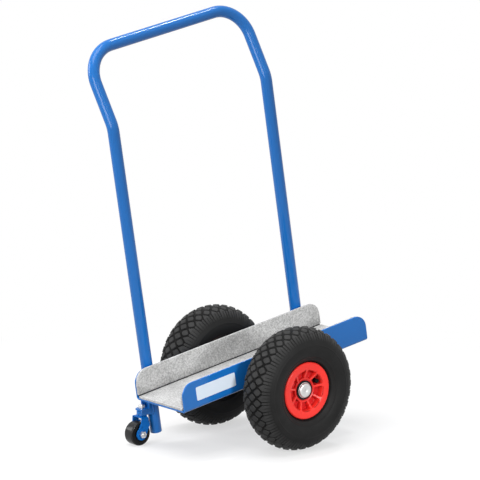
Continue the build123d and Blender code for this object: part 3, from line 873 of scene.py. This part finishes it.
carcass = bmesh.new()
turned(carcass, tyre_section, carcass_steps)
diamond = bmesh.new()
lofted(diamond, [diamond_ring(share, height) for share, height in diamond_rings])
lug = bmesh.new()
lofted(lug, [lug_ring(*row) for row in lug_rows])
lofted(lug, [pad_ring(*row) for row in pad_rows])
tread_sizes = {
    "Blocks round": tread_count,
    "Columns": tread_columns,
    "Column step": column_step,
    "First stagger": 0.0,
    "Tyre radius": tyre_radius,
    "Crown radius": crown_radius,
    "Shoulder along": shoulder_along,
    "Side radius": side_radius,
    "Side from": side_from,
}
shoulder_sizes = {**tread_sizes, "Columns": 2, "Column step": shoulder_step, "First stagger": 1.0}
tread_blocks = grow("tread_blocks", finished(diamond, "diamond", tyre_rubber), tyre_tread, tread_sizes)
shoulder_lugs = grow("shoulder_lugs", finished(lug, "lug", tyre_rubber), tyre_tread, shoulder_sizes)
carcass_faces = len(carcass.faces)
for mesh in (tread_blocks, shoulder_lugs):
    carcass.from_mesh(mesh)
for face in list(carcass.faces)[carcass_faces:]:
    face.material_index = 1
tyre_mesh = finished(carcass, "tyre", tyre_rubber)
tyre_mesh.materials.append(tread_rubber)


def wheel_pair(name, mesh, body, slot):
    """Put a piece made for the right wheel on it, and its mirror image on the left wheel."""
    mirrored = mesh.copy()
    mirrored.transform(Matrix.Scale(-1, 4, (0, 1, 0)))
    mirrored.flip_normals()
    for side, half, hub in (("left", mirrored, left_hub), ("right", mesh, right_hub)):
        half.transform(Matrix.Translation(hub))
        stand_in(put(f"{side}_{name}_skin", half), body.format(side=side), slot, f"{side}_{name}")


wheel_pair("tyre", tyre_mesh, "{side}_wheel", "tyre")


# Inner tubes and valves: a butyl tube inflated in each tyre.
# Its rubber-covered valve stem comes through the rim and stands in one pocket, under a screwed cap.
valve_edge = 0.5 * mm

for side in wheel_sides:
    dress(f"{side}_inner_tube", tyre_rubber)
    dress(f"{side}_valve", tyre_rubber, valve_edge)


# Hub bearings: a ring of steel rollers in a black plastic cage runs between each hub and the axle.
# A steel washer inside and a black plastic one outside keep the hub in place.
washer_edge = 0.3 * mm

black_plastic, wire = new_finish("black_moulded_plastic")
skin = grain(wire, 700.0, 1.0)
surface(wire, {
    "Base Color": shade(wire, skin, (0.004, 0.004, 0.005), (0.007, 0.007, 0.008)),
    "Roughness": 0.38 + 0.15 * skin,
    "Specular IOR Level": 0.1,
    "Normal": bump(wire, skin, 0.03 * mm),
})
for side in wheel_sides:
    dress(f"{side}_roller_cage", black_plastic)
    dress(f"{side}_rollers", drawn_steel)
    dress(f"{side}_inner_washer", drawn_steel, washer_edge)
    dress(f"{side}_outer_washer", black_plastic, washer_edge)


# Axle caps: each is pressed from thin bright steel and pushed onto the axle's end to hold the wheel.
# The dome keeps the fine rings of its spinning tool and a small dimple in the middle.
cap_steps = 64
# Half of a cut through the cap, from inside to outside: out along the axle, and from the axle's line
cap_section = [
    (25.1 * mm, 0.0),
    (25.1 * mm, 10.05 * mm),
    (22.4 * mm, 10.05 * mm),
    (22.4 * mm, 16.2 * mm),
    (22.7 * mm, 16.5 * mm),
    (23.1 * mm, 16.5 * mm),
    (23.4 * mm, 16.2 * mm),
    (23.5 * mm, 15.6 * mm),
    *arc(24.3 * mm, 12.4 * mm, 3.0 * mm, (math.radians(0.0), math.radians(80.0)), 6),
    (27.35 * mm, 11.0 * mm),
    (27.4 * mm, 3.2 * mm),
    (27.0 * mm, 2.5 * mm),
    (26.7 * mm, 1.4 * mm),
    (26.6 * mm, 0.0),
]
cap_rings = 1500.0

cap_steel, wire = new_finish("bright_cap_steel")
ring_place = {"W": from_axle(wire, left_hub) * cap_rings, "Scale": 1.0}
rings = wire.node("ShaderNodeTexNoise", {"noise_dimensions": "1D"}, ring_place, "Fac")
surface(wire, {
    "Base Color": shade(wire, rings, (0.50, 0.50, 0.49), (0.68, 0.68, 0.67)),
    "Metallic": 1.0,
    "Roughness": 0.34 + 0.12 * rings,
    "Normal": bump(wire, rings, 0.06 * mm),
})
cap_shape = bmesh.new()
turned(cap_shape, cap_section, cap_steps)
wheel_pair("axle_cap", finished(cap_shape, "axle_cap", cap_steel), "frame", "zinc")


# Castor head: a bracket folded from blue-coated plate is welded to the long leg, with a web behind the nut.
# A zinc-plated kingpin and nut hold the swivel to it, which turns on a ring of balls under the race cup.
bracket_edge = 0.6 * mm
cup_edge = 0.4 * mm
kingpin_edge = 0.3 * mm
kingpin_nut_edge = 0.4 * mm
web_back = 19.5 * mm
web_front = 4 * mm
web_top = 12 * mm
web_cut = 4 * mm
web_across = (102 * mm, 105 * mm)

zinc_plate, wire = new_finish("zinc_plate")
cloud = grain(wire, 60.0)
surface(wire, {
    "Base Color": shade(wire, cloud, (0.60, 0.60, 0.60), (0.72, 0.72, 0.71)),
    "Metallic": 1.0,
    "Roughness": 0.24 + 0.16 * grain(wire, 400.0),
})
dress("castor_bracket", blue_coat, bracket_edge)
web_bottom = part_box("kingpin_nut")[0].z - deck.translation.z
web_outline = []
for along in (-leg_x - web_back, -leg_x - web_front):
    web_outline.append((along, (web_bottom - along * deck[2][0]) / deck[2][2]))
web_outline.append((-leg_x - web_front, web_top))
web_outline.append((-leg_x - web_back + web_cut, web_top))
web_outline.append((-leg_x - web_back, web_top - web_cut))
web_shape = bmesh.new()
lofted(web_shape, [[(along, across, up) for along, up in web_outline] for across in web_across])
web_mesh = finished(web_shape, "bracket_web", blue_coat)
web_mesh.transform(deck)
stand_in(put("bracket_web", web_mesh), "frame", "blue_paint")
dress("swivel_cup", blue_coat, cup_edge)
dress("swivel_balls", drawn_steel)
dress("kingpin", zinc_plate, kingpin_edge)
dress("kingpin_nut", zinc_plate, kingpin_nut_edge)


# Castor fork and wheel: the fork is pressed from sheet steel and coated in a satin blue, painted darker than the
# frame's as painted shade under the tray.
# A bolt goes through its feet and a steel sleeve, on which the wheel's black plastic core turns.
# The hard rubber tyre is polished by wear, and its tread is painted greyer than its sides: a painted sheen.
fork_edge = 0.4 * mm
castor_bolt_edge = 0.3 * mm
sleeve_edge = 0.2 * mm
core_edge = 0.4 * mm
castor_tread = (21.5 * mm, 24 * mm)
castor_hub = Vector(joints["castor_wheel_spin"]["pos_m"])

# The fork's blue is darker than the frame's: painted shade, where the tray shades it.
castor_blue_with_painted_shade, wire = new_finish("castor_blue_with_painted_shade")
surface(wire, {
    "Base Color": shade(wire, grain(wire, 20.0), (0.002, 0.118, 0.43), (0.003, 0.13, 0.47)),
    "Roughness": 0.28 + 0.08 * grain(wire, 300.0),
    "Specular IOR Level": 0.15,
})
castor_rubber, wire = new_finish("castor_rubber")
cloud = grain(wire, 70.0, 3.0)
# Greyer on the tread: painted sheen standing in for the light the tread catches.
painted_tread_sheen = spread(from_axle(wire, castor_hub), *castor_tread) * (0.7 + 0.6 * cloud)
surface(wire, {
    "Base Color": shade(wire, painted_tread_sheen, (0.001, 0.001, 0.001), (0.020, 0.020, 0.021)),
    "Roughness": 0.12 + 0.12 * cloud,
    "Specular IOR Level": 0.18,
})
dress("castor_fork", castor_blue_with_painted_shade, fork_edge)
dress("castor_bolt", zinc_plate, castor_bolt_edge)
dress("castor_nut", zinc_plate, castor_bolt_edge)
dress("castor_sleeve", drawn_steel, sleeve_edge)
dress("castor_core", black_plastic, core_edge)
dress("castor_tyre", castor_rubber)


# Floor, light and camera: the dolly stands on pale paper, which turns white away from it, in a white room.
# Large lamps light it from above, from the left and from behind, and two strips draw the tube's highlights.
# A spot lamp lights the tray from the front.
floor_half = 9.0
pale = 0.25
white_from = 0.5
white_to = 1.1
pale_seen = 0.355
camera_share = 0.585
room_light = 0.48
room_white = 1.0


def shown(wire):
    """1 for rays that show a surface, straight, in a gloss or through glass, and 0 for the rest."""
    rays = wire.node("ShaderNodeLightPath", out="Is Camera Ray")
    return rays.most(rays.other("Is Glossy Ray")).most(rays.other("Is Transmission Ray"))


floor_finish, wire = new_finish("pale_floor")
place = wire.node("ShaderNodeTexCoord", out="Object")
reach = wire.node("ShaderNodeVectorMath", {"operation": "LENGTH"}, {0: place}, "Value")
away = spread(reach, white_from, white_to)
seen = shown(wire)
paper_colour = shade(wire, seen, (pale,) * 3, (pale_seen,) * 3)
paper = wire.node("ShaderNodeBsdfDiffuse", {}, {"Color": paper_colour})
glow = wire.node("ShaderNodeEmission", {}, {"Strength": seen * camera_share})
near = wire.node("ShaderNodeAddShader", {}, {0: paper, 1: glow})
white = wire.node("ShaderNodeEmission", {}, {"Strength": 1.0})
ground = wire.node("ShaderNodeMixShader", {}, {0: seen * away, 1: near, 2: white})
wire.node("ShaderNodeOutputMaterial", {}, {"Surface": ground}, None)

floor_mesh = bpy.data.meshes.new("floor")
floor_corners = [(-floor_half, -floor_half, 0), (floor_half, -floor_half, 0)]
floor_corners += [(floor_half, floor_half, 0), (-floor_half, floor_half, 0)]
floor_mesh.from_pydata(floor_corners, [], [(0, 1, 2, 3)])
floor_mesh.materials.append(floor_finish)
put("floor", floor_mesh)

world = bpy.data.worlds.new("studio")
world.use_nodes = True
world.node_tree.nodes.clear()
bpy.context.scene.world = world
wire = Wire(world.node_tree)
strength = room_light + (room_white - room_light) * shown(wire)
room = wire.node("ShaderNodeBackground", {}, {"Color": (1, 1, 1, 1), "Strength": strength})
wire.node("ShaderNodeOutputWorld", {}, {"Surface": room}, None)


def aimed(name, lamp, place, target):
    """Put a lamp at a place, turned to a target."""
    holder = put(name, lamp)
    holder.location = place
    holder.rotation_mode = "QUATERNION"
    holder.rotation_quaternion = (Vector(target) - Vector(place)).to_track_quat("-Z", "Y")


def soft_box(name, place, width, length, power):
    """An area lamp at a place, turned to the middle of the dolly."""
    lamp = bpy.data.lights.new(name, "AREA")
    lamp.shape = "RECTANGLE"
    lamp.size = width
    lamp.size_y = length
    lamp.energy = power
    aimed(name, lamp, place, (cad_box[0] + cad_box[1]) / 2)


soft_box("overhead", place=(-1.7, 0.1, 5.9), width=4.2, length=4.2, power=225.0)
soft_box("bar_strip", place=(1.38, 0.41, 4.0), width=0.28, length=0.5, power=37.0)
soft_box("leg_strip", place=(-1.25, -3.46, 2.14), width=0.12, length=1.0, power=5.0)
soft_box("left_window", place=(-2.9, -1.2, 1.1), width=1.6, length=1.6, power=50.0)
tray_lamp = bpy.data.lights.new("tray_lamp", "SPOT")
tray_lamp.energy = 170.0
tray_lamp.shadow_soft_size = 0.3
tray_lamp.spot_size = math.radians(19)
tray_lamp.spot_blend = 0.8
aimed("tray_lamp", tray_lamp, place=(-0.05, -2.8, 0.85), target=(0.05, 0.0, 0.1))
soft_box("back_window", place=(-2.2, 2.4, 1.6), width=1.4, length=1.4, power=36.0)

# The camera stands seven metres off, at eye height, and is turned by half a degree
camera_azimuth = math.radians(-39.74)
camera_elevation = math.radians(10.72)
camera_roll = math.radians(0.50)
camera_distance = 7.0398
camera_lens = 253.2
aim_height = 0.42125
aim_left = 0.03336

back = Vector((
    math.sin(camera_azimuth) * math.cos(camera_elevation),
    -math.cos(camera_azimuth) * math.cos(camera_elevation),
    math.sin(camera_elevation),
))
level_right = Vector((0, 0, 1)).cross(back).normalized()
level_up = back.cross(level_right)
right = level_right * math.cos(camera_roll) + level_up * math.sin(camera_roll)
up = back.cross(right)
camera = put("camera", bpy.data.cameras.new("camera"))
camera.data.lens = camera_lens
turn = Matrix((right, up, back)).transposed().to_4x4()
aim = Vector((left_hub.x, 0, aim_height)) - right * aim_left
camera.matrix_world = Matrix.Translation(aim + back * camera_distance) @ turn
bpy.context.scene.camera = camera
bpy.context.scene.view_settings.view_transform = "Standard"
